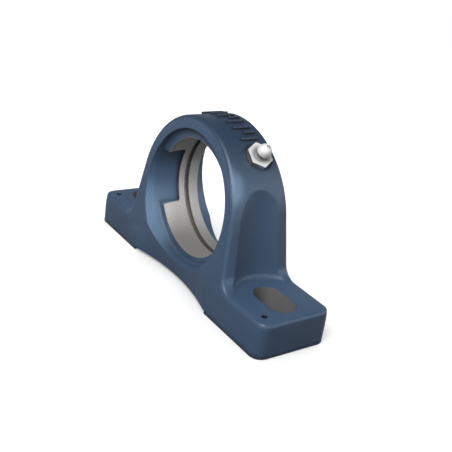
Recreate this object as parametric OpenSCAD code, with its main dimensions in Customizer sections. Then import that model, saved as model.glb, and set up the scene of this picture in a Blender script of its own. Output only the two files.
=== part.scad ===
// Two-bolt pillow block housing for a 30 mm insert bearing, with its grease nipple.
// X runs along the base, Y along the shaft, Z up. The loading slots face -Y.
// The origin is on the base face, under the middle of the bore.

/* [Base and feet] */
// Length over the two feet
base_len = 152; // [146:0.5:164]
// Width of the feet, front to back
foot_w = 40; // [38:0.5:44]
// Thickness of the feet
foot_h = 17; // [15:0.5:19]
// Radius of the upright corners of the feet
foot_corner_r = 5.5; // [4:0.5:7]
// Radius cast along the outer edges
edge_r = 1.7; // [1:0.1:2.2]
// Distance of a bolt slot's centre from the end of its foot
slot_end = 17.25; // [15.75:0.25:18.5]
// Length of a bolt slot
slot_len = 23.5; // [19:0.5:25]
// Width of a bolt slot
slot_w = 14; // [12:0.5:15]
// Height of the relief under the middle of the base
relief_h = 1.6; // [1:0.1:2.5]
// Half of the relief's length
relief_half = 34.5; // [31:0.5:36]

/* [Waist between the feet] */
// Depth of the waist at the base, on each side
waist_d = 5; // [3:0.25:6]
// Half of the waist's length at the base
waist_half = 33.6; // [30:0.2:34]
// Outward lean of the waist's wall, in degrees
waist_lean = 4.6; // [2:0.2:6]

/* [Ring and legs] */
// Height of the bore's centre above the base
centre_h = 42.9; // [42:0.1:45]
// Outer radius of the ring
ring_r = 39.8; // [39:0.1:41]
// Width of the ring at its top
ring_top_w = 24.4; // [23:0.2:27]
// Height at which the front and back faces start to lean inwards
lean_from = 8; // [6:0.5:11]
// Flare of the legs below the ring, in degrees
leg_flare = 8; // [5:0.5:10]
// Radius of the hollow between a leg and its foot
leg_fillet = 7; // [5:0.5:8]

/* [Wrench pockets] */
// Radius of a pocket's wall about its bolt, above the hollow at its bottom
pocket_r = 19.6; // [18.6:0.1:20.2]
// Draft of a pocket's wall, in degrees
pocket_draft = 4.8; // [4:0.1:5.5]
// Radius of the hollow between a pocket's wall and the foot
pocket_fillet = 2.6; // [1.5:0.1:3]

/* [Bearing seat] */
// Radius of the spherical seat
seat_r = 31; // [30.5:0.1:31]
// Width of the seat
seat_w = 21.2; // [19:0.2:22]
// Radius of the counterbore's wall, just in front of its floor
rim_r = 33.4; // [32.6:0.1:34]
// Draft of the counterbore's wall, in degrees
rim_draft = 10.5; // [7:0.5:11]
// Radius between the counterbore's wall and its floor
rim_fillet = 1.8; // [1:0.1:2]
// Distance of the grease groove behind the middle of the seat
groove_y = 4.8; // [4:0.1:5.6]
// Width of the grease groove
groove_w = 2.4; // [1.6:0.1:3]
// Depth of the grease groove
groove_d = 0.8; // [0.5:0.1:1.2]

/* [Loading slots] */
// Height of the two slots that let the bearing in
load_slot_h = 28.4; // [26:0.2:30]
// Radius of the slots' back walls at their inner end
load_slot_r = 32.4; // [32.2:0.1:32.8]
// Draft of the slots' back walls, in degrees
load_slot_draft = 4.8; // [4.4:0.1:5.6]
// How far the slots reach behind the middle of the seat
load_slot_end = 0.4; // [0:0.1:1]
// Radius of the slots' inner corners
load_corner_r = 1.2; // [0.8:0.1:2]

/* [Small holes] */
// Distance of a dimple from the end of its foot
dimple_end = 7; // [6:0.5:8]
// Distance of a dimple from the front of its foot
dimple_side = 6.4; // [5:0.2:7]
// Diameter of the dimples on the feet
dimple_d = 2.8; // [1.5:0.1:3]
// Depth of the dimples
dimple_depth = 2.2; // [1:0.1:3]
// Angle of the small blind hole in the groove, above the horizontal
pin_hole_angle = 43; // [38:1:60]
// Diameter of the blind hole in the groove
pin_hole_d = 2; // [1.5:0.1:2.4]
// Depth of the blind hole below the seat
pin_hole_depth = 2.5; // [1.5:0.1:3]

/* [Grease nipple] */
// Angle of the nipple above the horizontal
nipple_angle = 48; // [42:1:55]
// Distance of the nipple behind the middle of the seat
nipple_y = 3.8; // [3.2:0.1:4.4]
// Width across the nipple's flats
hex_af = 11.2; // [10:0.1:11.6]
// Height of the nipple's hexagon
hex_h = 2.5; // [2:0.1:4]
// Diameter of the nipple's threaded shank
shank_d = 9.4; // [8:0.1:9.7]
// Length of the threaded shank
shank_len = 5; // [4:0.1:5.5]
// Radial gap between the shank and its hole
thread_gap = 0.05; // [0.02:0.01:0.1]
// Diameter of the nipple's head
head_d = 6.6; // [6.2:0.1:6.8]
// Diameter of the neck under the head
neck_d = 4.8; // [4.4:0.1:5]
// Height of the neck and head above the hexagon
head_h = 6.8; // [6.5:0.1:8]
// Diameter of the check ball
ball_d = 2.4; // [2:0.1:2.6]
// Diameter of the hole that the ball closes
mouth_d = 1.8; // [1.4:0.1:1.9]
// Travel of the ball when grease is pushed in
ball_travel = 0.8; // [0.5:0.1:1]
// Diameter of the spring's wire
wire_d = 0.35; // [0.25:0.01:0.4]
// Number of turns of the spring
spring_turns = 5; // [4:1:6]

/* [Hidden] */
$fn = 96;
eps = 0.01;
over = 5;

top_z = centre_h + ring_r;
hole_x = base_len / 2 - slot_end;

// Lean of the faces: flat below lean_from, a short blend, then one straight slope to the top
lean_blend = 6;
lean_slope = (foot_w - ring_top_w) / 2 / (top_z - lean_from - lean_blend / 2);

// Half of the width at height z
function half_w(z) =
    z <= lean_from ? foot_w / 2 :
    z <= lean_from + lean_blend ?
        foot_w / 2 - lean_slope * pow(z - lean_from, 2) / 2 / lean_blend :
    foot_w / 2 - lean_slope * (z - lean_from - lean_blend / 2);

// Leg: a straight flank tangent to the ring, run into the foot by a hollow of radius leg_fillet
leg_n = [cos(leg_flare), sin(leg_flare)];
leg_top = [ring_r * leg_n[0], centre_h + ring_r * leg_n[1]];
hollow_z = foot_h + leg_fillet;
hollow_x = leg_top[0] + (leg_top[1] - hollow_z) * tan(leg_flare) + leg_fillet / leg_n[0];

// Right half of the front outline, from the base to the top of the ring.
// Each point is [x, z, outward nx, outward nz, share of the foot's corner radius].
ring_step = 5;
hollow_steps = 8;
crown_steps = 5;
foot_side = [
    [base_len / 2, 0, 0, 0, 1],
    [base_len / 2, lean_from, 0, 0, 1],
    [base_len / 2, lean_from + lean_blend / 2, 0, 0, 1],
    [base_len / 2, lean_from + lean_blend, 0, 0, 1]
];
foot_crown = [for (k = [0:crown_steps])
    let (a = 90 * k / crown_steps)
    [base_len / 2 - edge_r + edge_r * cos(a), foot_h - edge_r + edge_r * sin(a), 0, sin(a), 1]
];
leg_hollow = [for (k = [0:hollow_steps])
    let (a = 270 - (90 - leg_flare) * k / hollow_steps)
    [hollow_x + leg_fillet * cos(a), hollow_z + leg_fillet * sin(a), -cos(a), -sin(a), 0]
];
ring_first = ceil((leg_flare + 1) / ring_step) * ring_step;
ring_arc = concat(
    [[leg_top[0], leg_top[1], leg_n[0], leg_n[1], 0]],
    [for (a = [ring_first:ring_step:85])
        [ring_r * cos(a), centre_h + ring_r * sin(a), cos(a), sin(a), 0]]
);
ring_crown = [[0, top_z, 0, 1, 0]];
half_line = concat(foot_side, foot_crown, leg_hollow, ring_arc);
mirrored = [for (k = [len(half_line) - 1:-1:0])
    let (p = half_line[k]) [-p[0], p[1], -p[2], p[3], p[4]]
];
outline = concat(half_line, ring_crown, mirrored);
count = len(outline);
side_count = len(half_line);

// Layers from the front face inwards. Each is [depth, edge inset, foot corner inset].
edge_steps = 5;
function corner_inset(d) = foot_corner_r - sqrt(pow(foot_corner_r, 2) - pow(foot_corner_r - d, 2));
edge_layers = [for (k = [0:edge_steps])
    let (a = 90 * k / edge_steps, d = edge_r * (1 - cos(a)))
    [d, edge_r * (1 - sin(a)), corner_inset(d)]
];
corner_steps = 3;
corner_layers = [for (k = [1:corner_steps])
    let (d = edge_r + (foot_corner_r - edge_r) * pow(k / corner_steps, 1.4))
    [d, 0, corner_inset(d)]
];
front_layers = concat(edge_layers, corner_layers);
layer_count = len(front_layers);
ring_count = 2 * layer_count;

// Point j of layer k, where the later half of the layers is the mirrored back
function shell_point(j, k) =
    let (
        back = k >= layer_count,
        layer = front_layers[back ? ring_count - 1 - k : k],
        p = outline[j],
        x = p[0] - layer[1] * p[2] - layer[2] * p[4] * sign(p[0]),
        z = p[1] - layer[1] * p[3],
        y = half_w(z) - layer[0]
    )
    [x, back ? y : -y, z];

shell_points = [for (k = [0:ring_count - 1]) for (j = [0:count - 1]) shell_point(j, k)];

// Walls between neighbouring layers, in triangles
wall_faces = [for (k = [0:ring_count - 2]) for (j = [0:count - 1])
    let (
        n = (j + 1) % count,
        a = k * count + j,
        b = k * count + n,
        c = a + count,
        d = b + count
    )
    for (face = [[a, c, b], [b, c, d]]) face
];

// A face's rungs run level from side to side, so each piece between two rungs is flat
foot_last = len(foot_side) + len(foot_crown);
function mirror_of(j) = count - 1 - j;
function cap_faces(first) = concat(
    [for (j = [0:len(foot_side) - 2])
        [first + j, first + j + 1, first + mirror_of(j + 1), first + mirror_of(j)]],
    [concat(
        [for (j = [len(foot_side) - 1:foot_last]) first + j],
        [for (j = [foot_last:-1:len(foot_side) - 1]) first + mirror_of(j)])],
    [for (j = [foot_last:side_count - 2])
        [first + j, first + j + 1, first + mirror_of(j + 1), first + mirror_of(j)]],
    [[first + side_count - 1, first + side_count, first + side_count + 1]]
);
function reversed(face) = [for (k = [len(face) - 1:-1:0]) face[k]];
front_cap = [for (face = cap_faces(0)) reversed(face)];
back_cap = cap_faces((ring_count - 1) * count);

// The waist's wall is part of a large cylinder
waist_r = (pow(waist_half, 2) + pow(waist_d, 2)) / 2 / waist_d;

// Nipple, measured along its own axis from the centre of the bore
nipple_flat = ring_r - 0.7;
flat_r = hex_af / 2 + 1.5;
shank_r = shank_d / 2;
feed_r = 1.5;
hex_top = nipple_flat + hex_h;
head_top = hex_top + head_h;
head_r = head_d / 2;
neck_r = neck_d / 2;
head_mid = hex_top + 0.46 * head_h;
crown_end = 70;
crown_h = (head_top - head_mid) / sin(crown_end);
mouth_r = mouth_d / 2;
mouth_len = 0.3;
ball_r = ball_d / 2;
ball_gap = 0.03;
chamber_r = ball_r + 0.3;
seat_cone = 0.5;
ball_z = head_top - mouth_len - sqrt(pow(ball_r + ball_gap, 2) - pow(mouth_r, 2));
spring_gap = 0.05;
spring_mean_r = ball_r - wire_d;
spring_top = ball_z - sqrt(pow(ball_r, 2) - pow(spring_mean_r, 2)) - wire_d / 2 - spring_gap;
spring_len = 4.6;
spring_bottom = spring_top - spring_len;
chamber_floor = spring_bottom - wire_d / 2 - spring_gap;
bleed_r = 0.7;

// Faceted outer form of the casting
module casting() {
    polyhedron(points = shell_points, faces = concat(wall_faces, front_cap, back_cap), convexity = 6);
}

// Puts a child drawn along Z on the bore's axis, with Z pointing to the front
module along_bore() {
    translate([0, 0, centre_h])
        rotate([90, 0, 0])
            children();
}

// Hollow that receives the bearing from one side: counterbore with a drafted wall
module counterbore() {
    reach = foot_w / 2 + over;
    floor_y = seat_w / 2;
    wall_y = floor_y + rim_fillet;
    rotate_extrude()
        polygon(concat(
            [[0, floor_y]],
            [for (a = [0:15:90])
                [rim_r - rim_fillet + rim_fillet * sin(a), wall_y - rim_fillet * cos(a)]],
            [[rim_r + (reach - wall_y) * tan(rim_draft), reach], [0, reach]]
        ));
}

// Spherical seat between the two counterbores
module seat() {
    intersection() {
        sphere(r = seat_r);
        cylinder(r = seat_r + over, h = seat_w + 2 * eps, center = true);
    }
}

// Grease groove round the seat
module groove() {
    translate([0, 0, -groove_y - groove_w / 2])
        difference() {
            cylinder(r = seat_r + groove_d, h = groove_w);
            translate([0, 0, -over])
                cylinder(r = seat_r - 3, h = groove_w + 2 * over);
        }
}

// Two slots in the front half of the seat, opposite each other, widening to the front
module loading_slots() {
    half = load_slot_h / 2;
    reach = foot_w / 2 + load_slot_end + over;
    span = 2 * (load_slot_r + 2 * over);
    translate([0, 0, -load_slot_end])
        intersection() {
            cylinder(r1 = load_slot_r, r2 = load_slot_r + reach * tan(load_slot_draft), h = reach);
            union() {
                translate([-span / 2, -half, load_corner_r])
                    cube([span, load_slot_h, reach]);
                translate([-span / 2, -half + load_corner_r, 0])
                    cube([span, load_slot_h - 2 * load_corner_r, reach]);
                for (s = [-1, 1])
                    translate([-span / 2, s * (half - load_corner_r), load_corner_r])
                        rotate([0, 90, 0])
                            cylinder(r = load_corner_r, h = span);
            }
        }
}

// Slotted bolt hole through a foot
module bolt_slot() {
    run = (slot_len - slot_w) / 2;
    for (s = [-1, 1])
        translate([hole_x + s * run, 0, -over])
            cylinder(d = slot_w, h = foot_h + 2 * over);
    translate([hole_x - run, -slot_w / 2, -over])
        cube([2 * run, slot_w, foot_h + 2 * over]);
}

// Room round the bolt for a washer and a wrench, drafted and rounded at its bottom
module wrench_pocket() {
    reach = top_z - foot_h + over;
    translate([hole_x, 0, foot_h])
        rotate_extrude()
            polygon(concat(
                [[0, 0]],
                [for (a = [0:15:90])
                    [pocket_r - pocket_fillet * (1 - sin(a)), pocket_fillet * (1 - cos(a))]],
                [[pocket_r + (reach - pocket_fillet) * tan(pocket_draft), reach],
                 [0, reach]]
            ));
}

// One side of the waist: a leaning wall curved in plan
module waist_side() {
    reach = top_z;
    translate([0, -foot_w / 2 + waist_d, 0])
        rotate([waist_lean, 0, 0])
            translate([0, -waist_r, -over])
                cylinder(r = waist_r, h = reach, $fn = 240);
}

// Places a child on the nipple's axis, with Z pointing away from the bore
module on_nipple_axis() {
    translate([0, nipple_y, centre_h])
        rotate([0, 90 - nipple_angle, 0])
            children();
}

// Machined flat, threaded hole and feed drilling for the nipple
module nipple_hole() {
    on_nipple_axis() {
        translate([0, 0, nipple_flat])
            cylinder(r = flat_r, h = over);
        translate([0, 0, nipple_flat - shank_len - 0.4])
            cylinder(r = shank_r + thread_gap, h = shank_len + over);
        translate([0, 0, seat_r - 3])
            cylinder(r = feed_r, h = nipple_flat - seat_r);
    }
}

// Blind hole at the rear edge of the groove
module pin_hole() {
    translate([0, groove_y + 0.8, centre_h])
        rotate([0, pin_hole_angle - 90, 0])
            translate([0, 0, seat_r - over])
                cylinder(d = pin_hole_d, h = over + pin_hole_depth);
}

// Shallow dimples on the front outer corners of the feet
module dimples() {
    for (s = [-1, 1])
        translate([s * (base_len / 2 - dimple_end), -foot_w / 2 + dimple_side, foot_h - dimple_depth])
            cylinder(d = dimple_d, h = dimple_depth + over, $fn = 24);
}

module housing() {
    color([0.18, 0.27, 0.38])
        difference() {
            casting();
            along_bore() {
                seat();
                counterbore();
                mirror([0, 0, 1])
                    counterbore();
                groove();
                loading_slots();
            }
            for (s = [0, 1])
                mirror([s, 0, 0]) {
                    bolt_slot();
                    wrench_pocket();
                }
            for (s = [0, 1])
                mirror([0, s, 0])
                    waist_side();
            translate([-relief_half, -foot_w / 2 - over, -over])
                cube([2 * relief_half, foot_w + 2 * over, over + relief_h]);
            nipple_hole();
            pin_hole();
            dimples();
        }
}

module grease_nipple() {
    color([0.86, 0.86, 0.84])
        on_nipple_axis()
            difference() {
                union() {
                    translate([0, 0, nipple_flat - shank_len])
                        cylinder(r = shank_r, h = shank_len);
                    intersection() {
                        translate([0, 0, nipple_flat])
                            cylinder(d = hex_af / cos(30), h = hex_h, $fn = 6);
                        translate([0, 0, nipple_flat])
                            cylinder(r1 = hex_af / 2 + 2.6, r2 = hex_af / 2 - 0.1, h = hex_h + 1);
                    }
                    rotate_extrude()
                        polygon(concat(
                            [[0, hex_top - eps],
                            [neck_r + 0.7, hex_top - eps],
                            [neck_r, hex_top + 0.7],
                            [neck_r, hex_top + 0.24 * head_h]],
                            [for (a = [-10:10:crown_end])
                                [head_r * cos(a), head_mid + crown_h * sin(a)]],
                            [[0, head_top]]
                        ));
                }
                translate([0, 0, head_top - mouth_len - eps])
                    cylinder(r = mouth_r, h = over);
                translate([0, 0, head_top - mouth_len - seat_cone])
                    cylinder(r1 = chamber_r, r2 = mouth_r, h = seat_cone);
                translate([0, 0, chamber_floor])
                    cylinder(r = chamber_r, h = head_top - mouth_len - seat_cone - chamber_floor + eps);
                translate([0, 0, nipple_flat - shank_len - over])
                    cylinder(r = bleed_r, h = chamber_floor - nipple_flat + shank_len + over + eps);
            }
}

module check_ball() {
    color([0.7, 0.7, 0.72])
        on_nipple_axis()
            translate([0, 0, ball_z])
                sphere(r = ball_r, $fn = 48);
}

// Coil swept along its helix: ring_sides points about each station
module check_spring() {
    ring_sides = 6;
    stations = spring_turns * 14;
    wire_r = wire_d / 2;
    points = [for (k = [0:stations]) for (j = [0:ring_sides - 1])
        let (
            turn = 360 * spring_turns * k / stations,
            tilt = 360 * j / ring_sides,
            r = spring_mean_r + wire_r * cos(tilt),
            z = spring_bottom + spring_len * k / stations + wire_r * sin(tilt)
        )
        [r * cos(turn), r * sin(turn), z]
    ];
    sides = [for (k = [0:stations - 1]) for (j = [0:ring_sides - 1])
        let (
            n = (j + 1) % ring_sides,
            a = k * ring_sides + j,
            b = k * ring_sides + n
        )
        for (face = [[a, b, a + ring_sides], [b, b + ring_sides, a + ring_sides]]) face
    ];
    start = [for (j = [ring_sides - 1:-1:0]) j];
    end = [for (j = [0:ring_sides - 1]) stations * ring_sides + j];
    color([0.6, 0.6, 0.6])
        on_nipple_axis()
            polyhedron(points = points, faces = concat(sides, [start, end]), convexity = 10);
}

housing();
grease_nipple();
check_ball();
check_spring();
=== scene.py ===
# %% [markdown]
# # A pillow block housing in blue enamel
# The real object is one iron casting with a machined seat for a bearing, and a small
# zinc-plated grease nipple screwed into it. This script gives them their finishes, adds
# what is too fine for the source, and sets up the studio.

import math

import bpy
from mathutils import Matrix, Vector


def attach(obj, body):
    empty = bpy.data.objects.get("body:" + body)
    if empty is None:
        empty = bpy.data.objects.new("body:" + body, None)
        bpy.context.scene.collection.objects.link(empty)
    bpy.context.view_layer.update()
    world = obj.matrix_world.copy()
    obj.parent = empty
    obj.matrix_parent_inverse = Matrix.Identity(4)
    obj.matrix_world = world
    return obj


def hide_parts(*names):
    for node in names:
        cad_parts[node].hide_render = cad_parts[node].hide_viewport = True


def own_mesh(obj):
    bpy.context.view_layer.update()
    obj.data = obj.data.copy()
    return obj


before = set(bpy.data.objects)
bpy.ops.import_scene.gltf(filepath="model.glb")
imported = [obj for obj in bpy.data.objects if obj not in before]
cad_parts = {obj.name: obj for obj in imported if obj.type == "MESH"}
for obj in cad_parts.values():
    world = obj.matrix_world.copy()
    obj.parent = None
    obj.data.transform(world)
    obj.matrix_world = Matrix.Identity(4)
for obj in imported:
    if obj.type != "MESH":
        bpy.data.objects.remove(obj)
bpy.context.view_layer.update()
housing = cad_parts["housing"]
print("nodes:", sorted(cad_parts))

# %% Units, and the height of the bore's axis
# Sizes are in millimetres, and those of the casting are the ones in the part's source
MM = 0.001
CENTRE_H = 42.9
print("the bore's axis is", CENTRE_H, "mm above the base")

# %% [markdown]
# ## Helpers for materials
# A colour is easiest to read off a picture as an sRGB hex value, but shaders work in
# linear light, so one function converts it. A second adds a node with its settings and
# its links, so that a whole finish reads as a short list of steps. A third starts a
# material with a Principled shader and with the place on the piece in millimetres, which
# every pattern and every mask is worked out from.


# %% Colour, node and material helpers
def linear(hex_colour):
    values = [int(hex_colour[i : i + 2], 16) / 255 for i in (1, 3, 5)]
    return [v / 12.92 if v <= 0.04045 else ((v + 0.055) / 1.055) ** 2.4 for v in values] + [1.0]


def add_node(tree, kind, inputs=None, **settings):
    node = tree.nodes.new(kind)
    for name, value in settings.items():
        setattr(node, name, value)
    for name, value in (inputs or {}).items():
        if isinstance(value, bpy.types.Node):
            value = value.outputs[0]
        if isinstance(value, bpy.types.NodeSocket):
            tree.links.new(value, node.inputs[name])
        else:
            node.inputs[name].default_value = value
    return node


def new_material(name):
    material = bpy.data.materials.new(name)
    material.use_nodes = True
    tree = material.node_tree
    tree.nodes.clear()
    shader = add_node(tree, "ShaderNodeBsdfPrincipled")
    add_node(tree, "ShaderNodeOutputMaterial", {"Surface": shader})
    place = add_node(tree, "ShaderNodeTexCoord").outputs["Object"]
    in_mm = add_node(tree, "ShaderNodeVectorMath", {0: place, "Scale": 1000.0}, operation="SCALE")
    return material, tree, shader, in_mm


print("the grey #808080 in linear light:", round(linear("#808080")[0], 3))

# %% [markdown]
# ## The housing's finish: where it is painted and where it is machined
# The casting is shot blasted, sprayed with a blue-grey alkyd enamel and machined after
# that, so the seat and its groove are bare grey iron and nearly all the rest is blue.
# These could be separate pieces, but on the real part they are one surface. So one
# material does it all, and masks worked out from Object coordinates say which is which.

# %% Distances from the bore, in millimetres
GROOVE_Y, GROOVE_W, GROOVE_D = 4.8, 2.4, 0.8
enamel, tree, shader, in_mm = new_material("blue_enamel_on_cast_iron")
centre = (0, 0, CENTRE_H)
to_centre = add_node(tree, "ShaderNodeVectorMath", {0: in_mm, 1: centre}, operation="SUBTRACT")
distance = add_node(tree, "ShaderNodeVectorMath", {0: to_centre}, operation="LENGTH").outputs["Value"]
flat = add_node(tree, "ShaderNodeVectorMath", {0: to_centre, 1: (1, 0, 1)}, operation="MULTIPLY")
radius = add_node(tree, "ShaderNodeVectorMath", {0: flat}, operation="LENGTH").outputs["Value"]
across, to_back, up = add_node(tree, "ShaderNodeSeparateXYZ", {0: to_centre}).outputs
off_groove = add_node(tree, "ShaderNodeMath", {0: to_back, 1: GROOVE_Y}, operation="SUBTRACT")
off_groove = add_node(tree, "ShaderNodeMath", {0: off_groove}, operation="ABSOLUTE")
print("the groove is", GROOVE_W, "mm wide and", GROOVE_Y, "mm behind the bore's middle")

# %% Masks for the machined seat and its groove
# The seat is part of a sphere about the bore's middle, and the groove is a band just
# outside it. Each mask reaches a little past its surface. The pads under the feet are
# milled bare as well.
SEAT_R = 31.0
ON_SEAT, IN_GROOVE, HALF_BAND = SEAT_R + 0.12, SEAT_R + GROOVE_D + 0.1, GROOVE_W / 2 + 0.04
GROOVE_MOUTH = (SEAT_R - 0.4, SEAT_R - 0.1)
BASE_SKIM = 0.04 - CENTRE_H
on_seat = add_node(tree, "ShaderNodeMath", {0: distance, 1: ON_SEAT}, operation="LESS_THAN")
band = add_node(tree, "ShaderNodeMath", {0: off_groove, 1: HALF_BAND}, operation="LESS_THAN")
shallow = add_node(tree, "ShaderNodeMath", {0: radius, 1: IN_GROOVE}, operation="LESS_THAN")
groove = add_node(tree, "ShaderNodeMath", {0: band, 1: shallow}, operation="MULTIPLY")
machined = add_node(tree, "ShaderNodeMath", {0: on_seat, 1: groove}, operation="MAXIMUM")
base = add_node(tree, "ShaderNodeMath", {0: up, 1: BASE_SKIM}, operation="LESS_THAN")
machined = add_node(tree, "ShaderNodeMath", {0: machined, 1: base}, operation="MAXIMUM")
# The groove's painted shade fades in across its mouth
under = add_node(
    tree,
    "ShaderNodeMapRange",
    {"Value": radius, "From Min": GROOVE_MOUTH[0], "From Max": GROOVE_MOUTH[1]},
)
in_groove = add_node(tree, "ShaderNodeMath", {0: groove, 1: under}, operation="MULTIPLY")
print("bare iron reaches", ON_SEAT, "mm out on the seat and", round(IN_GROOVE, 2), "in the groove")

# %% A mask for the walls of the slotted bolt holes
# Fettling leaves them close to bare metal
FOOT_H, BOLT_X, SLOT_W, SLOT_LEN = 17.0, 117.5 / 2, 14.0, 23.5
IN_SLOT, BELOW_RIM = SLOT_W / 2 + 0.1, FOOT_H - CENTRE_H - 0.3
side = add_node(tree, "ShaderNodeMath", {0: across}, operation="ABSOLUTE")
along = add_node(tree, "ShaderNodeMath", {0: side, 1: BOLT_X}, operation="SUBTRACT")
along = add_node(tree, "ShaderNodeMath", {0: along}, operation="ABSOLUTE")
past = add_node(tree, "ShaderNodeMath", {0: along, 1: (SLOT_LEN - SLOT_W) / 2}, operation="SUBTRACT")
past = add_node(tree, "ShaderNodeMath", {0: past, 1: 0.0}, operation="MAXIMUM")
corner = add_node(tree, "ShaderNodeCombineXYZ", {"X": past, "Y": to_back})
reach = add_node(tree, "ShaderNodeVectorMath", {0: corner}, operation="LENGTH").outputs["Value"]
in_slot = add_node(tree, "ShaderNodeMath", {0: reach, 1: IN_SLOT}, operation="LESS_THAN")
low = add_node(tree, "ShaderNodeMath", {0: up, 1: BELOW_RIM}, operation="LESS_THAN")
bare_slot = add_node(tree, "ShaderNodeMath", {0: in_slot, 1: low}, operation="MULTIPLY")
print(enamel.name, "finds its places with", len(tree.nodes), "nodes")

# %% [markdown]
# ## Colour of the enamel and of the bare iron
# Sprayed enamel is never quite even: it is thicker here and thinner there, which shows
# as slow clouds about two centimetres wide. The corners, the crown and the slots' back
# walls are darkened as painted shade, and dust in the corners dulls their gloss. Ambient
# Occlusion finds those corners, whatever their shape.
# Turning leaves fine rings in the seat, so its colour changes only along the shaft.
# Real rings are about 0.1 mm apart; they are drawn 0.35 mm apart so that they show.

# %% Enamel in slow clouds, with painted shade on the crown
CLOUD_MM, CROWN_Z, CROWN_R, CROWN_SHADE = 18, (14, 30), (37.8, 38.6), 0.57
ENAMEL_DEEP, ENAMEL_PALE = linear("#384C64"), linear("#3F556F")
cloudy = add_node(
    tree, "ShaderNodeTexNoise", {"Vector": in_mm, "Scale": 1 / CLOUD_MM, "Detail": 3.0}
)
paint = add_node(
    tree, "ShaderNodeMix", {0: cloudy, 6: ENAMEL_DEEP, 7: ENAMEL_PALE}, data_type="RGBA"
).outputs[2]
above = add_node(
    tree, "ShaderNodeMapRange", {"Value": up, "From Min": CROWN_Z[0], "From Max": CROWN_Z[1]}
)
outside = add_node(
    tree, "ShaderNodeMapRange", {"Value": radius, "From Min": CROWN_R[0], "From Max": CROWN_R[1]}
)
crown = add_node(tree, "ShaderNodeMath", {0: above, 1: outside}, operation="MULTIPLY")
# Painted shade: the top of the ring is darkened
crown_shade = add_node(tree, "ShaderNodeMapRange", {"Value": crown, "To Min": 1.0, "To Max": CROWN_SHADE})
paint = add_node(tree, "ShaderNodeVectorMath", {0: paint, "Scale": crown_shade}, operation="SCALE")
print("enamel from", [round(v, 3) for v in ENAMEL_DEEP[:3]], "in linear light")

# %% Painted shade on the back walls of the loading slots
# The back walls of these slots are darkened a little as painted shade
WALL_Y, WALL_HIGH, WALL_R, WALL_SHADE = (-13.14, 0.5), 14.2, 34.2, 0.76
high = add_node(tree, "ShaderNodeMath", {0: up}, operation="ABSOLUTE")
back_wall = add_node(tree, "ShaderNodeMath", {0: high, 1: WALL_HIGH}, operation="LESS_THAN")
for measure, kind, limit in (
    (to_back, "GREATER_THAN", WALL_Y[0]),
    (to_back, "LESS_THAN", WALL_Y[1]),
    (radius, "LESS_THAN", WALL_R),
):
    within = add_node(tree, "ShaderNodeMath", {0: measure, 1: limit}, operation=kind)
    back_wall = add_node(tree, "ShaderNodeMath", {0: back_wall, 1: within}, operation="MULTIPLY")
slot_wall_shade = add_node(tree, "ShaderNodeMapRange", {"Value": back_wall, "To Min": 1.0, "To Max": WALL_SHADE})
paint = add_node(tree, "ShaderNodeVectorMath", {0: paint, "Scale": slot_wall_shade}, operation="SCALE")
print("the slots' back walls run from y", WALL_Y[0], "to", WALL_Y[1], "mm")

# %% Lathe rings on the iron, and all the colours together
RING_MM = 0.35
IRON_DARK, IRON_PALE = linear("#888785"), linear("#9C9B99")
GROOVE_SHADED_IRON, SLOT_IRON = linear("#5E5C59"), linear("#6A6A69")
along_shaft = add_node(
    tree, "ShaderNodeVectorMath", {0: to_centre, 1: (0, 1 / RING_MM, 0)}, operation="MULTIPLY"
)
rings = add_node(tree, "ShaderNodeTexNoise", {"Vector": along_shaft, "Scale": 1.0, "Detail": 2.0})
iron = add_node(
    tree, "ShaderNodeMix", {0: rings, 6: IRON_DARK, 7: IRON_PALE}, data_type="RGBA"
).outputs[2]
# Painted shade: the iron in the groove is darker than on the seat
iron = add_node(
    tree, "ShaderNodeMix", {0: in_groove, 6: iron, 7: GROOVE_SHADED_IRON}, data_type="RGBA"
).outputs[2]
colour = add_node(
    tree, "ShaderNodeMix", {0: machined, 6: paint, 7: iron}, data_type="RGBA"
).outputs[2]
colour = add_node(
    tree, "ShaderNodeMix", {0: bare_slot, 6: colour, 7: SLOT_IRON}, data_type="RGBA"
).outputs[2]
print(enamel.name, "has its colours after", len(tree.nodes), "nodes")

# %% Painted shade in the corners
# The narrow step behind the seat is a corner too, but an open one that gets no painted shade
CORNER_MM, SHADED_AO, OPEN_AO, DARKEST = 3.5, 0.5, 0.95, 0.12
SEAT_W, STEP_R = 21.2, 36.0
corners = add_node(
    tree, "ShaderNodeAmbientOcclusion", {"Distance": CORNER_MM * MM}, samples=12
).outputs["AO"]
shade_and_dust = add_node(
    tree,
    "ShaderNodeMapRange",
    {"Value": corners, "From Min": SHADED_AO, "From Max": OPEN_AO, "To Min": DARKEST},
)
shade_and_dust = add_node(tree, "ShaderNodeMath", {0: shade_and_dust, 1: machined}, operation="MAXIMUM")
behind = add_node(tree, "ShaderNodeMath", {0: to_back, 1: SEAT_W / 2}, operation="GREATER_THAN")
step = add_node(tree, "ShaderNodeMath", {0: radius, 1: STEP_R}, operation="LESS_THAN")
step = add_node(tree, "ShaderNodeMath", {0: step, 1: behind}, operation="MULTIPLY")
shade_and_dust = add_node(tree, "ShaderNodeMath", {0: shade_and_dust, 1: step}, operation="MAXIMUM")
# Painted shade: the colour is darkened where Ambient Occlusion finds a corner
colour = add_node(tree, "ShaderNodeVectorMath", {0: colour, "Scale": shade_and_dust}, operation="SCALE")
tree.links.new(colour.outputs[0], shader.inputs["Base Color"])
print("dirt is looked for", CORNER_MM, "mm round each point")

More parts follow.
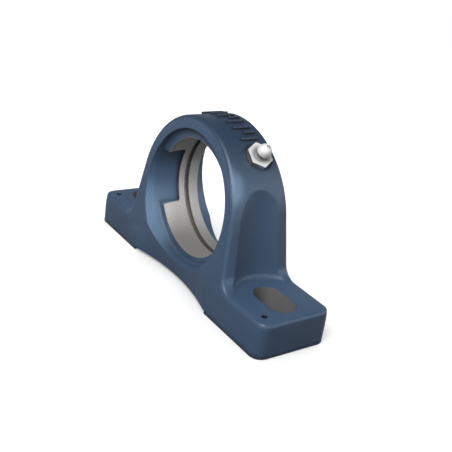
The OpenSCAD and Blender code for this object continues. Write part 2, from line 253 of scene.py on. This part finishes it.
# %% Gloss: semi-gloss enamel, turned iron, dull slot walls
# Enamel has a soft sheen, broken up a little by the sand skin; turned iron is brighter
SAND_MM, ENAMEL_ROUGH, SAND_ROUGH = 0.9, 0.40, 0.12
IRON_ROUGH, SLOT_ROUGH, DUST_ROUGH, IRON_METALLIC = 0.48, 0.7, 0.8, 0.45
skin = add_node(
    tree,
    "ShaderNodeTexNoise",
    {"Vector": in_mm, "Scale": 1 / SAND_MM, "Detail": 2.0, "Roughness": 0.55},
)
worn = add_node(
    tree, "ShaderNodeMath", {0: skin, 1: SAND_ROUGH, 2: ENAMEL_ROUGH}, operation="MULTIPLY_ADD"
)
rough = add_node(tree, "ShaderNodeMix", {0: machined, 2: worn, 3: IRON_ROUGH})
rough = add_node(tree, "ShaderNodeMix", {0: bare_slot, 2: rough, 3: SLOT_ROUGH})
# Dust takes the shine off the corners
rough = add_node(tree, "ShaderNodeMix", {0: shade_and_dust, 2: DUST_ROUGH, 3: rough})
metallic = add_node(tree, "ShaderNodeMath", {0: machined, 1: IRON_METALLIC}, operation="MULTIPLY")
tree.links.new(rough.outputs[0], shader.inputs["Roughness"])
tree.links.new(metallic.outputs[0], shader.inputs["Metallic"])
shader.inputs["Specular IOR Level"].default_value = 0.45
print(enamel.name, "so far has", len(tree.nodes), "nodes")

# %% [markdown]
# ## Relief that is too fine to model
# Moulding sand has grains of about 0.3 mm. They leave a skin under the paint, which is
# drawn with lumps of 0.9 mm so that it shows, and the mould leaves a slow waviness. A coat
# of paint rounds every edge, which a Bevel node shades without new faces. The seat has
# none of this, but only the lathe's rings.

# %% Bump of the casting
WAVE_MM, EDGE_MM = 7, 0.7
waves = add_node(
    tree, "ShaderNodeTexNoise", {"Vector": in_mm, "Scale": 1 / WAVE_MM, "Detail": 1.0}
)
soft_edge = add_node(tree, "ShaderNodeBevel", {"Radius": EDGE_MM * MM}, samples=6)
sand = add_node(
    tree,
    "ShaderNodeBump",
    {"Height": skin, "Strength": 0.25, "Distance": 0.05 * MM, "Normal": soft_edge},
)
ripple = add_node(
    tree,
    "ShaderNodeBump",
    {"Height": waves, "Strength": 0.5, "Distance": 0.12 * MM, "Normal": sand},
)
turned = add_node(
    tree, "ShaderNodeBump", {"Height": rings, "Strength": 0.3, "Distance": 0.01 * MM}
)
normal = add_node(tree, "ShaderNodeMix", {0: machined, 4: ripple, 5: turned}, data_type="VECTOR")
tree.links.new(normal.outputs[1], shader.inputs["Normal"])
print(enamel.name, "has", len(tree.nodes), "nodes")

# %% [markdown]
# ## Zinc plate, ball and spring
# The nipple is turned from steel bar and zinc plated, which leaves it bright but milky.
# The check ball is hard polished steel, and the spring behind it is drawn wire. All
# three are a grainy metal with its own colour, gloss and grain, so one function makes
# them, and it paints shade into the corners of the nipple as it does on the casting.

# %% Painted shade in the corners of small metal pieces, and dust that dulls them
METAL_SHADED_AO, METAL_OPEN_AO, METAL_SHADE_TINT, GRIME_ROUGH = 0.55, 0.88, 0.05, 0.85
print("grime takes a colour down to", METAL_SHADE_TINT, "of itself")


# %% Small metal finishes
def bright_metal(name, light, dark, roughness, metallic, grain_mm, corner_shade_mm):
    material, tree, shader, in_mm = new_material(name)
    grain = add_node(
        tree, "ShaderNodeTexNoise", {"Vector": in_mm, "Scale": 1 / grain_mm, "Detail": 3.0}
    )
    tint = add_node(
        tree, "ShaderNodeMix", {0: grain, 6: linear(dark), 7: linear(light)}, data_type="RGBA"
    ).outputs[2]
    corners = add_node(
        tree, "ShaderNodeAmbientOcclusion", {"Distance": corner_shade_mm * MM}, samples=12
    ).outputs["AO"]
    shade_and_dust = add_node(
        tree,
        "ShaderNodeMapRange",
        {"Value": corners, "From Min": METAL_SHADED_AO, "From Max": METAL_OPEN_AO, "To Min": METAL_SHADE_TINT},
    )
    # Painted shade: the colour is darkened where Ambient Occlusion finds a corner
    tint = add_node(tree, "ShaderNodeVectorMath", {0: tint, "Scale": shade_and_dust}, operation="SCALE")
    tree.links.new(tint.outputs[0], shader.inputs["Base Color"])
    shader.inputs["Metallic"].default_value = metallic
    dull = add_node(
        tree, "ShaderNodeMath", {0: grain, 1: 0.1, 2: roughness}, operation="MULTIPLY_ADD"
    )
    dull = add_node(tree, "ShaderNodeMix", {0: shade_and_dust, 2: GRIME_ROUGH, 3: dull})
    tree.links.new(dull.outputs[0], shader.inputs["Roughness"])
    edge = add_node(tree, "ShaderNodeBevel", {"Radius": 0.15 * MM}, samples=6)
    bump = add_node(
        tree,
        "ShaderNodeBump",
        {"Height": grain, "Strength": 0.1, "Distance": 0.01 * MM, "Normal": edge},
    )
    tree.links.new(bump.outputs[0], shader.inputs["Normal"])
    print("made", name)
    return material


# %% Zinc plate on the nipple, ball steel and spring wire
# The milky film on zinc scatters light much as paint does, so it is only partly metallic
ZINC_METALLIC = 0.35
zinc = bright_metal("zinc_plated_steel", "#ECECEB", "#DEDEDC", 0.6, ZINC_METALLIC, 0.6, 4)
polished = bright_metal("polished_ball_steel", "#E8E8EA", "#DFDFE1", 0.3, 0.6, 0.4, 0.6)
wire = bright_metal("drawn_spring_wire", "#B9B9B8", "#A2A2A2", 0.3, 1.0, 0.2, 2)
finishes = {"housing": enamel, "grease_nipple": zinc, "check_ball": polished, "check_spring": wire}
for node, material in finishes.items():
    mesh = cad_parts[node].data
    mesh.materials.clear()
    mesh.materials.append(material)
    print(node, "has", len(mesh.polygons), "triangles")

# %% [markdown]
# ## The nipple's flats and its neck
# The nipple is cut from drawn hexagon bar, whose flats stay as smooth as they were drawn,
# so they mirror the blue paint round them, while the turned faces are milky. The neck is
# greyed with painted shade, darkest just under the head, where the head's shadow falls.
# Both places are found by their height along the nipple's own axis.

# %% Heights along the nipple, in millimetres from the bore's axis
NIPPLE_ANGLE = math.radians(48)
OUT = Vector((math.cos(NIPPLE_ANGLE), 0.0, math.sin(NIPPLE_ANGLE)))
HEX_TOP, NECK_TOP = 41.6, 43.4
tree = zinc.node_tree
shader = tree.nodes["Principled BSDF"]
tint, dull = (shader.inputs[name].links[0].from_socket for name in ("Base Color", "Roughness"))
place = add_node(tree, "ShaderNodeTexCoord").outputs["Object"]
in_mm = add_node(tree, "ShaderNodeVectorMath", {0: place, "Scale": 1000.0}, operation="SCALE")
to_bore = add_node(tree, "ShaderNodeVectorMath", {0: in_mm, 1: centre}, operation="SUBTRACT")
rise = add_node(
    tree, "ShaderNodeVectorMath", {0: to_bore, 1: tuple(OUT)}, operation="DOT_PRODUCT"
).outputs["Value"]
print("the hexagon's top is", HEX_TOP, "mm from the bore's axis")

# %% Bright drawn flats
FLAT_TINT, FLAT_ROUGH, FLAT_METALLIC = linear("#E8E8EA"), 0.2, 0.93
flats = add_node(tree, "ShaderNodeMath", {0: rise, 1: HEX_TOP - 0.3}, operation="LESS_THAN")
dull = add_node(tree, "ShaderNodeMix", {0: flats, 2: dull, 3: FLAT_ROUGH})
metallic = add_node(tree, "ShaderNodeMix", {0: flats, 2: ZINC_METALLIC, 3: FLAT_METALLIC})
tree.links.new(dull.outputs[0], shader.inputs["Roughness"])
tree.links.new(metallic.outputs[0], shader.inputs["Metallic"])
print("the flats are drawn metal, the rest is milky zinc")

# %% Painted shade on the neck
# Full colour on the hexagon's face, painted shade up the neck, darkest under the head, full on it
NECK_SHADE, UNDER_HEAD_SHADE = 0.45, 0.06
face = add_node(
    tree,
    "ShaderNodeMapRange",
    {"Value": rise, "From Min": HEX_TOP + 0.02, "From Max": HEX_TOP + 0.2, "To Min": 1, "To Max": 0},
)
neck_shade = add_node(
    tree,
    "ShaderNodeMapRange",
    {
        "Value": rise,
        "From Min": HEX_TOP + 0.9,
        "From Max": NECK_TOP,
        "To Min": NECK_SHADE,
        "To Max": UNDER_HEAD_SHADE,
    },
)
head = add_node(
    tree, "ShaderNodeMapRange", {"Value": rise, "From Min": NECK_TOP, "From Max": NECK_TOP + 0.8}
)
neck_shade = add_node(tree, "ShaderNodeMath", {0: face, 1: neck_shade}, operation="MAXIMUM")
neck_shade = add_node(tree, "ShaderNodeMath", {0: neck_shade, 1: head}, operation="MAXIMUM")
tint = add_node(tree, "ShaderNodeVectorMath", {0: tint, "Scale": neck_shade}, operation="SCALE")
tint = add_node(
    tree, "ShaderNodeMix", {0: flats, 6: tint, 7: FLAT_TINT}, data_type="RGBA"
).outputs[2]
tree.links.new(tint, shader.inputs["Base Color"])
print(zinc.name, "has", len(tree.nodes), "nodes")

# %% [markdown]
# ## The casting's skin
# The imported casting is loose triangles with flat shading. Its look comes from a copy whose
# shared corners are merged, so that smooth shading can run across the cast curves while
# every machined edge stays sharp. The copy stands for the node in the picture.


# %% Merged copies of CAD nodes
def merged_copy(node, name, smooth_angle, merge_mm=0.002):
    bpy.ops.object.select_all(action="DESELECT")
    piece = node.copy()
    piece.data = node.data.copy()
    piece.name = name
    piece.parent = None
    bpy.context.scene.collection.objects.link(piece)
    for key in list(piece.keys()):
        del piece[key]
    bpy.context.view_layer.objects.active = piece
    piece.select_set(True)
    bpy.ops.object.mode_set(mode="EDIT")
    bpy.ops.mesh.select_all(action="SELECT")
    bpy.ops.mesh.remove_doubles(threshold=merge_mm * MM)
    bpy.ops.mesh.customdata_custom_splitnormals_clear()
    bpy.ops.mesh.select_all(action="DESELECT")
    bpy.ops.object.mode_set(mode="OBJECT")
    bpy.ops.object.shade_smooth_by_angle(angle=math.radians(smooth_angle))
    print(name, "has", len(piece.data.vertices), "points and", len(piece.data.polygons), "faces")
    return piece


casting = merged_copy(housing, "casting", smooth_angle=19.5)

# %% [markdown]
# ## The faint crease round the loading slots
# A slot's back wall leans 4.8 degrees and the counterbore's 10.5, so they meet in a
# crease that is too faint for the smoothing angle to keep. The wall's faces are picked
# by their place and their normal, and their outline is marked sharp.

# %% Sharp outline of the slots' back walls
# A face is in a wall if its middle lies within these limits and it leans as the wall does
LOAD_SLOT_DRAFT, NEARLY = 4.8, 0.03
WALL_RADII, WALL_DEPTHS, WALL_TOP = (31.8, 34.4), (-16, 0.45), 14.4
lean = math.sin(math.radians(LOAD_SLOT_DRAFT))
picked = 0
for face in casting.data.polygons:
    x, y, z = face.center.x / MM, face.center.y / MM, face.center.z / MM - CENTRE_H
    far_enough = WALL_RADII[0] < math.hypot(x, z) < WALL_RADII[1]
    deep_enough = WALL_DEPTHS[0] < y < WALL_DEPTHS[1] and abs(z) < WALL_TOP
    face.select = far_enough and deep_enough and abs(face.normal.y + lean) < NEARLY
    picked += face.select
bpy.ops.object.mode_set(mode="EDIT")
bpy.ops.mesh.select_mode(type="FACE")
bpy.ops.mesh.region_to_loop()
bpy.ops.mesh.mark_sharp()
bpy.ops.object.mode_set(mode="OBJECT")
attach(casting, "housing")
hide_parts("housing")
print("outlined", picked, "faces of the slots' back walls")

# %% [markdown]
# ## The spring behind the check ball
# When a grease gun pushes the ball in by 0.8 mm, the spring behind it gets shorter by as
# much. A merged, smooth-shaded copy with its own mesh stands for it, and the height of
# each of its points along the nipple's axis is worked out.

# %% A copy of the spring, with its own mesh
coil = merged_copy(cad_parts["check_spring"], "spring_coil", smooth_angle=40)
along = [point.co.dot(OUT) for point in coil.data.vertices]
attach(coil, "housing")
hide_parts("check_spring")
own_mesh(coil)

# %% [markdown]
# ## Raised bars on the crown
# Nine plain bars, 1.1 mm high, lie across the top of the ring and are cast with it. They
# are relief on a finished form, so they are made here and not in the source. One bar is
# modelled from a cube, its top drawn in for draft and its edges bevelled, and its copies
# are then turned into place about the bore's axis.

# %% One bar, on top of the ring
RING_R, DRAWN_IN, ROUNDING = 39.8, (0.75, 0.95, 1), 0.3
BAR_Y, BAR_THICK, BAR_RISE, BAR_SUNK = (-2.0, 8.0), 1.9, 1.1, 0.4
tall = BAR_RISE + BAR_SUNK
middle = CENTRE_H + RING_R + (BAR_RISE - BAR_SUNK) / 2
bar_centre = (0, sum(BAR_Y) / 2 * MM, middle * MM)
bar_size = (BAR_THICK * MM, (BAR_Y[1] - BAR_Y[0]) * MM, tall * MM)
bpy.ops.object.select_all(action="DESELECT")
bpy.ops.mesh.primitive_cube_add(size=1, location=bar_centre, scale=bar_size)
bar = bpy.context.active_object
bpy.ops.object.transform_apply(location=True, rotation=True, scale=True)
for face in bar.data.polygons:
    face.select = face.normal.z > 0.5
bpy.ops.object.mode_set(mode="EDIT")
bpy.ops.transform.resize(value=DRAWN_IN, center_override=bar_centre)
bpy.ops.object.mode_set(mode="OBJECT")
bevel = bar.modifiers.new("rounded", "BEVEL")
bevel.width = ROUNDING * MM
bevel.segments = 3
bpy.ops.object.modifier_apply(modifier=bevel.name)
bpy.ops.object.shade_smooth()
print("one bar:", len(bar.data.polygons), "faces")

# %% Its copies, turned about the bore's axis
# They stand in three groups of three, and the middle one of each is shorter
GROUP_ANGLES, STEP_ANGLE, SHORTER = (62, 81, 100), 5.5, 0.6
angles = [group + number * STEP_ANGLE for group in GROUP_ANGLES for number in range(3)]
back_end = (0, BAR_Y[1] * MM, middle * MM)
bars = []
for number, angle in enumerate(angles):
    bpy.ops.object.select_all(action="DESELECT")
    bar.select_set(True)
    bpy.context.view_layer.objects.active = bar
    bpy.ops.object.duplicate(linked=False)
    copy = bpy.context.active_object
    if number % 3 == 1:
        bpy.ops.transform.resize(value=(1, SHORTER, 1), center_override=back_end)
    bpy.ops.transform.rotate(
        value=math.radians(angle - 90), orient_axis="Y", center_override=(0, 0, CENTRE_H * MM)
    )
    bpy.ops.object.transform_apply(location=True, rotation=True, scale=True)
    bars.append(copy)
    print("bar at", angle, "degrees stands at x", round(copy.data.vertices[0].co.x / MM, 1))
bpy.data.objects.remove(bar)
bpy.ops.object.select_all(action="DESELECT")
for piece in bars:
    piece.select_set(True)
bpy.context.view_layer.objects.active = bars[0]
bpy.ops.object.join()
crown_bars = bpy.context.active_object
crown_bars.name = "crown_bars"
crown_bars.data.materials.clear()
crown_bars.data.materials.append(enamel)
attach(crown_bars, "housing")
top = max(point.co.z for point in crown_bars.data.vertices)
print("crown bars:", len(crown_bars.data.polygons), "faces, highest point", round(top / MM, 2))

# %% [markdown]
# ## Studio: the table
# A catalogue picture is taken on a white table in plain soft light. A table that is truly
# white throws light back up and flattens the casting's sides, so this one is white only
# to the camera, half as bright in reflections and dark grey to all other light. What the
# camera sees of it is darker near the casting and where the casting keeps light from it.


# %% Which rays come from the camera, and which were mirrored
def kinds_of_ray(tree):
    path = add_node(tree, "ShaderNodeLightPath")
    mirrored = add_node(
        tree,
        "ShaderNodeMath",
        {0: path.outputs["Is Glossy Ray"], 1: path.outputs["Is Transmission Ray"]},
        operation="MAXIMUM",
    )
    return path.outputs["Is Camera Ray"], mirrored


print("the floor and the room both look different to each kind of ray")

# %% Floor
FLOOR_Z, FLOOR_SIZE = -0.0002, 12
WHITE, LIT_GREY, SEEN_GREY = linear("#FFFFFF"), linear("#484848"), linear("#BEBEBE")
bpy.ops.object.select_all(action="DESELECT")
bpy.ops.mesh.primitive_plane_add(size=FLOOR_SIZE, location=(0, 0, FLOOR_Z))
floor = bpy.context.active_object
floor.name = "floor"
ground, tree, shader, in_mm = new_material("pale_floor")
by_camera, mirrored = kinds_of_ray(tree)
tone = add_node(
    tree, "ShaderNodeMix", {0: by_camera, 6: LIT_GREY, 7: SEEN_GREY}, data_type="RGBA"
).outputs[2]
tree.links.new(tone, shader.inputs["Base Color"])
shader.inputs["Roughness"].default_value = 0.9
shader.inputs["Specular IOR Level"].default_value = 0.0
print("floor is", floor.dimensions.x, "m wide")

# %% The floor's own white, less of it near the casting and in its shade
NEAR_MM, FAR_MM, SHADE_MM = 120, 450, 50
NEAR_GLOW, SHADE_GLOW, MIRRORED_GLOW = 0.76, 0.25, 0.5
far = add_node(tree, "ShaderNodeVectorMath", {0: in_mm}, operation="LENGTH").outputs["Value"]
glow = add_node(
    tree,
    "ShaderNodeMapRange",
    {"Value": far, "From Min": NEAR_MM, "From Max": FAR_MM, "To Min": NEAR_GLOW, "To Max": 1.0},
)
shade = add_node(
    tree, "ShaderNodeAmbientOcclusion", {"Distance": SHADE_MM * MM}, samples=16
).outputs["AO"]
shade = add_node(
    tree,
    "ShaderNodeMapRange",
    {"Value": shade, "From Min": 0.2, "From Max": 1.0, "To Min": SHADE_GLOW},
)
glow = add_node(tree, "ShaderNodeMath", {0: glow, 1: shade}, operation="MULTIPLY")
seen = add_node(
    tree, "ShaderNodeMath", {0: mirrored, 1: MIRRORED_GLOW, 2: by_camera}, operation="MULTIPLY_ADD"
)
glow = add_node(tree, "ShaderNodeMath", {0: glow, 1: seen}, operation="MULTIPLY")
shader.inputs["Emission Color"].default_value = WHITE
tree.links.new(glow.outputs[0], shader.inputs["Emission Strength"])
floor.data.materials.append(ground)
print(ground.name, "has", len(tree.nodes), "nodes")

# %% [markdown]
# ## Studio: lamps and room
# The main lamp stands high, a little to the left of the camera. A weak one fills from the
# far left, one catches the right-hand edges, and one lights the back, so that every side
# shows its shape. The wall inside the bore and the seat still lie in shade, so each gets a
# small lamp with a narrow beam. Reflections see a room of their own, with a bright wall
# low on the right and a dark one on the left, which draws the sheen on the edges.


# %% Lamps, with places in metres and spreads in degrees
def soft_lamp(name, place, watts, aim=(0, 0, 0.04), size=0.3, spread=180, tint=WHITE):
    bpy.ops.object.light_add(type="AREA", location=place)
    lamp = bpy.context.active_object
    lamp.name = name
    lamp.data.shape = "DISK"
    lamp.data.size = size
    lamp.data.energy = watts
    lamp.data.color = tint[:3]
    lamp.data.spread = math.radians(spread)
    lamp.visible_glossy = False
    lamp.rotation_euler = (Vector(aim) - Vector(place)).to_track_quat("-Z", "Y").to_euler()
    print(name, "gives", watts, "W")
    return lamp


# Only the main lamp is mirrored by the casting
near_lamp = soft_lamp("near_lamp", (0.15, -0.28, 0.37), 2.45)
near_lamp.visible_glossy = True
soft_lamp("left_lamp", (-0.5, -0.2, 0.15), 0.45)
soft_lamp("rim_lamp", (0.4, 0.4, 0.245), 0.4)
soft_lamp("back_lamp", (-0.25, 0.45, 0.3), 1.6)

# %% Two narrow beams into the bore
# The one on the painted wall is slightly warm, or the blue would look too strong
BEAM = {"size": 0.01, "spread": 6.0}
ON_WALL, ON_SEAT_FACE = (-0.027, -0.016, 0.021), (-0.028, 0.002, 0.031)
soft_lamp("bore_lamp", (0.35, -0.055, 0.3), 0.0036, ON_WALL, tint=linear("#FFF2E6"), **BEAM)
soft_lamp("seat_lamp", (0.35, 0.28, 0.2), 0.003, ON_SEAT_FACE, **BEAM)

# %% The room round the table
# Each wall is brighter below than above. From is how steeply a ray looks up, from 0 to 1,
# and To is how bright the wall is there.
LEFT_WALL = {"From Min": 0.3, "From Max": 0.45, "To Min": 0.5, "To Max": 0.0}
RIGHT_WALL = {"From Min": 0.45, "From Max": 0.6, "To Min": 2.6, "To Max": 0.8}
FILL = 0.02
world = bpy.data.worlds.new("studio")
bpy.context.scene.world = world
world.use_nodes = True
tree = world.node_tree
tree.nodes.clear()
way = add_node(tree, "ShaderNodeTexCoord").outputs["Generated"]
sideways, _, upward = add_node(tree, "ShaderNodeSeparateXYZ", {0: way}).outputs
to_right = add_node(
    tree, "ShaderNodeMapRange", {"Value": sideways, "From Min": -0.1, "From Max": 0.4}
)
left = add_node(tree, "ShaderNodeMapRange", {"Value": upward, **LEFT_WALL})
right = add_node(tree, "ShaderNodeMapRange", {"Value": upward, **RIGHT_WALL})
walls = add_node(tree, "ShaderNodeMix", {0: to_right, 2: left, 3: right})
print("the right wall is up to", RIGHT_WALL["To Min"], "and the left one", LEFT_WALL["To Min"])

# %% What the camera, reflections and everything else see of the room
by_camera, mirrored = kinds_of_ray(tree)
fill = add_node(tree, "ShaderNodeBackground", {"Color": WHITE, "Strength": FILL})
room = add_node(tree, "ShaderNodeBackground", {"Color": WHITE, "Strength": walls})
white = add_node(tree, "ShaderNodeBackground", {"Color": WHITE, "Strength": 1.0})
unseen = add_node(tree, "ShaderNodeMixShader", {0: mirrored, 1: fill, 2: room})
backdrop = add_node(tree, "ShaderNodeMixShader", {0: by_camera, 1: unseen, 2: white})
add_node(tree, "ShaderNodeOutputWorld", {"Surface": backdrop})
print("the room has", len(tree.nodes), "nodes")

# %% [markdown]
# ## Camera
# It stands where the photograph was taken from. Its place, turn and lens were fitted, by
# least squares, to points whose real places are known: the feet, the bolt slots and the
# ring. With those found, nothing in the picture has to be shifted or cropped. The
# Standard view shows each colour as its material has it, and white as white.

# %% Camera
LENS_MM, SENSOR_MM = 56.541, 36.0
CAMERA_AT, CAMERA_TURN = (0.261995, -0.190339, 0.171294), (65.8780, -7.9693, 55.8778)
lens = bpy.data.cameras.new("photo_camera")
lens.sensor_width = SENSOR_MM
lens.lens = LENS_MM
lens.clip_start = 0.01
camera = bpy.data.objects.new("photo_camera", lens)
camera.location = CAMERA_AT
camera.rotation_euler = tuple(math.radians(a) for a in CAMERA_TURN)
bpy.context.scene.collection.objects.link(camera)
bpy.context.scene.camera = camera
bpy.context.scene.view_settings.view_transform = "Standard"
print("camera is", round(camera.location.length, 3), "m from the middle of the base")
